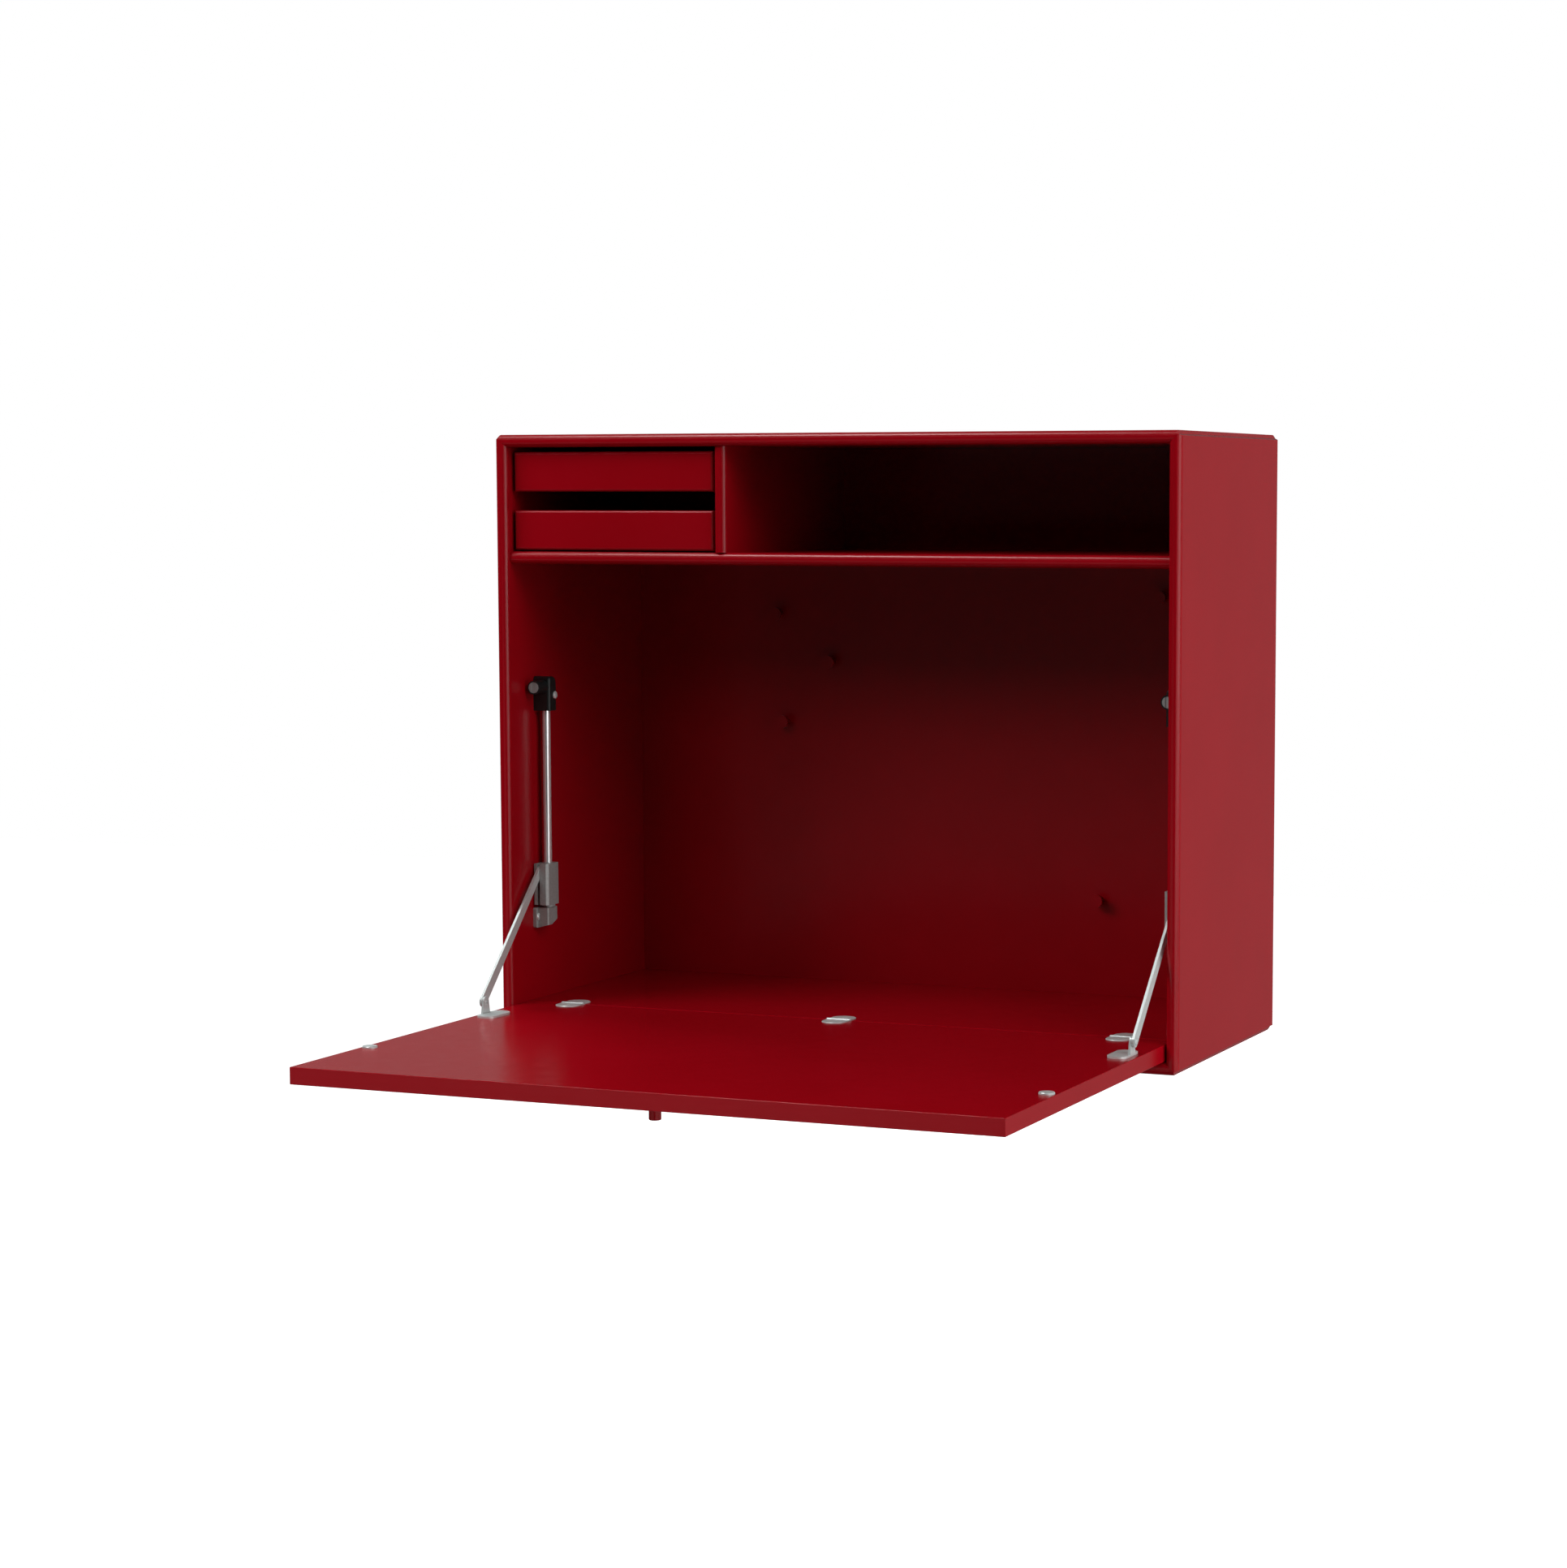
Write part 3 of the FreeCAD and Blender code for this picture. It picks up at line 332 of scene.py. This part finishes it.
# screws of the two foot plates
footScrew = {
    "head": 0.0038, "shank": 0.0020, "length": 0.012,
    "bar": 0.0044, "slot": 0.0010, "depth": 0.0017,
    "x": 0.3188, "y": (-0.3805, -0.3535), "z": -0.480, "turns": (15, 50, 80, 30),
}


def addFootScrews(spec):
    mesh = countersunk("footScrew", spec)
    spots = [(side * spec["x"], y, spec["z"]) for side in (-1, 1) for y in spec["y"]]
    copies = [(mesh, upright(spot, turn)) for spot, turn in zip(spots, spec["turns"])]
    setOut("footScrews", copies, "flap", "foot_screws", "nickel_steel")


# pan-head screws that hold the stay heads and end blocks to the cabinet sides
stayScrew = {
    "head": 0.0038, "cap": 0.0018, "shank": 0.0020, "tip": 0.345,
    "crown": ((0, 1), (0.45, 0.97), (0.74, 0.84), (0.92, 0.6), (1, 0.3), (1, 0)),  # shares of head and cap
    "bar": 0.0044, "slot": 0.0010, "depth": 0.0013, "turn": 35,
    "seats": ((0.318, -0.2395, -0.1815), (0.3325, -0.252, -0.4001)),
}


def addStayScrews(spec):
    cap, shank = spec["cap"], spec["shank"]
    copies = []
    for seat, y, z in spec["seats"]:
        length = spec["tip"] - seat
        profile = [(radius * spec["head"], height * cap) for radius, height in spec["crown"]]
        profile += [(shank, 0), (shank, -length + shank), (0, -length)]
        mesh = crossRecess(turnedMesh("stayScrew", profile), cap, spec)
        for side in (-1, 1):
            place = lying((side * seat, y, z), side) @ Matrix.Rotation(radians(spec["turn"]), 4, "Z")
            copies.append((mesh, place))
    setOut("stayScrews", copies, "cabinet", "stay_screws", "nickel_steel")


# semi-tubular rivets through the foot lugs and arms, hollow at the lug
footRivet = {
    "shank": 0.0020, "head": 0.0030, "rise": 0.0008,
    "hollow": 0.0014, "deep": 0.0020,
    "dome": ((1.0, 0.0), (1.0, 0.15), (0.88, 0.5), (0.65, 0.8), (0.35, 0.95), (0, 1.0)),  # shares of head and rise
    "x": (0.3265, 0.3316), "y": -0.367, "z": -0.469,
}


def addRivets(spec):
    near, far = spec["x"]
    half = (far - near) / 2
    head, rise, hollow = spec["head"], spec["rise"], spec["hollow"]
    profile = [(0, half + rise - spec["deep"]), (0.8 * hollow, half + rise - spec["deep"])]
    profile += [(hollow, half + 0.6 * rise), (1.2 * hollow, half + rise), (0.75 * head, half + 0.8 * rise)]
    profile += [(head, half + 0.25 * rise), (head, half), (spec["shank"], half), (spec["shank"], -half)]
    profile += [(radius * head, -half - height * rise) for radius, height in spec["dome"]]
    mesh = turnedMesh("footRivet", profile)
    copies = []
    for side in (-1, 1):
        middle = side * (near + far) / 2
        copies.append((mesh, lying((middle, spec["y"], spec["z"]), side)))
    setOut("footRivets", copies, "flap", "foot_rivets", "nickel_steel")


addHingeScrews(hingeScrew)
addFootScrews(footScrew)
addStayScrews(stayScrew)
addRivets(footRivet)
print("screws and rivets made")

# pale floor at the height that puts the desk top 740 mm up, and white all round
studio = {
    "deskHeight": 0.74,
    "floorSize": 14,
    "floorGrey": (0.9, 0.9, 0.9),
    "floorGlow": 1,
    "white": (1.0, 1.0, 1.0),
    "glow": (0.0, 0.23),  # strength at the front and at the back
    "glowSpan": (-0.2, 0.4),  # between these heights along y, on a ball of radius 1
}


def addFloor(spec):
    mesh = bpy.data.meshes.new("floor")
    sheet = bmesh.new()
    bmesh.ops.create_grid(sheet, x_segments=1, y_segments=1, size=spec["floorSize"] / 2)
    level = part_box("flap_panel")[1][2] - spec["deskHeight"]
    bmesh.ops.translate(sheet, verts=sheet.verts, vec=(0, 0, level))
    sheet.to_mesh(mesh)
    sheet.free()
    floor = bpy.data.objects.new("floor", mesh)
    scene.collection.objects.link(floor)
    material, tree, shader = newMaterial("paleFloor")
    shader.inputs["Base Color"].default_value = (*spec["floorGrey"], 1)
    shader.inputs["Emission Color"].default_value = (*spec["white"], 1)
    shader.inputs["Emission Strength"].default_value = spec["floorGlow"]
    mesh.materials.append(material)
    floor.visible_diffuse = False
    floor.visible_glossy = False


# the camera sees plain white; everything else gets a soft glow from behind
def addSky(spec):
    world = bpy.data.worlds.new("studio")
    world.use_nodes = True
    scene.world = world
    tree = world.node_tree
    seen = tree.nodes["Background"]
    seen.inputs["Color"].default_value = (*spec["white"], 1)
    glow = tree.nodes.new("ShaderNodeBackground")
    coords = tree.nodes.new("ShaderNodeTexCoord")
    split = tree.nodes.new("ShaderNodeSeparateXYZ")
    tree.links.new(coords.outputs["Generated"], split.inputs["Vector"])
    slope = remap(tree, split.outputs["Y"], spec["glowSpan"], spec["glow"])
    tree.links.new(slope, glow.inputs["Strength"])
    rays = tree.nodes.new("ShaderNodeLightPath")
    mix = tree.nodes.new("ShaderNodeMixShader")
    tree.links.new(rays.outputs["Is Camera Ray"], mix.inputs["Fac"])
    tree.links.new(glow.outputs["Background"], mix.inputs[1])
    tree.links.new(seen.outputs["Background"], mix.inputs[2])
    tree.links.new(mix.outputs["Shader"], tree.nodes["World Output"].inputs["Surface"])


# soft boxes: where each stands, what it faces, its sides in metres, its power in watts and what it gives
desk = (0, -0.3, -0.25)
softBoxes = {
    "keyRight": {"place": (2.6, -1.6, 2.2), "aim": desk, "sides": (2.0, 2.0), "power": 44, "gives": "fill"},
    "keyLeft": {"place": (-2.4, -2.0, 1.8), "aim": desk, "sides": (2.0, 2.0), "power": 84, "gives": "fill"},
    "frontHigh": {"place": (-0.8, -3.1, 1.4), "aim": desk, "sides": (1.4, 0.8), "power": 13, "gives": "fill"},
    "backLeft": {"place": (-2.2, 1.2, 1.4), "aim": desk, "sides": (2.0, 2.0), "power": 85, "gives": "fill"},
    "backShine": {"place": (-2.2, 1.2, 1.4), "aim": desk, "sides": (2.0, 2.0), "power": 5, "gives": "shine"},
    "sideRight": {"place": (3.0, -1.0, 0.5), "aim": desk, "sides": (2.0, 2.0), "power": 25, "gives": "both"},
    "lowRight": {"place": (2.6, 0.0, -0.6), "aim": desk, "sides": (1.4, 1.4), "power": 36, "gives": "fill"},
    "lowFront": {
        "place": (0.0, -1.15, -1.15), "aim": (0, -0.7, -0.49), "sides": (1.4, 0.3), "power": 4.5, "gives": "fill",
    },
    "lowShine": {
        "place": (-0.65, -2.0, -0.8), "aim": (0, -0.69, -0.49), "sides": (2.2, 0.35), "power": 0.95, "gives": "shine",
    },
    "frontShine": {
        "place": (-1.05, -3.3, -0.58), "aim": (0, -0.3, -0.3), "sides": (1.0, 0.6), "power": 0.6, "gives": "shine",
    },
    "rightShine": {
        "place": (2.7, -2.4, -0.55), "aim": (0, -0.3, -0.4), "sides": (2.4, 1.2), "power": 13, "gives": "shine",
    },
    "topShine": {
        "place": (-1.1, -1.2, 2.3), "aim": (0, -0.3, 0), "sides": (1.0, 0.7), "power": 26, "gives": "shine",
    },
}


def addLight(name, spec):
    lamp = bpy.data.lights.new(name, "AREA")
    lamp.shape = "RECTANGLE"
    lamp.size, lamp.size_y = spec["sides"]
    lamp.energy = spec["power"]
    light = bpy.data.objects.new(name, lamp)
    light.location = spec["place"]
    away = Vector(spec["place"]) - Vector(spec["aim"])
    light.rotation_euler = away.to_track_quat("Z", "Y").to_euler()
    light.visible_diffuse = spec["gives"] != "shine"
    light.visible_glossy = spec["gives"] != "fill"
    scene.collection.objects.link(light)


addFloor(studio)
addSky(studio)
for name, spec in softBoxes.items():
    addLight(name, spec)
print("studio set up")
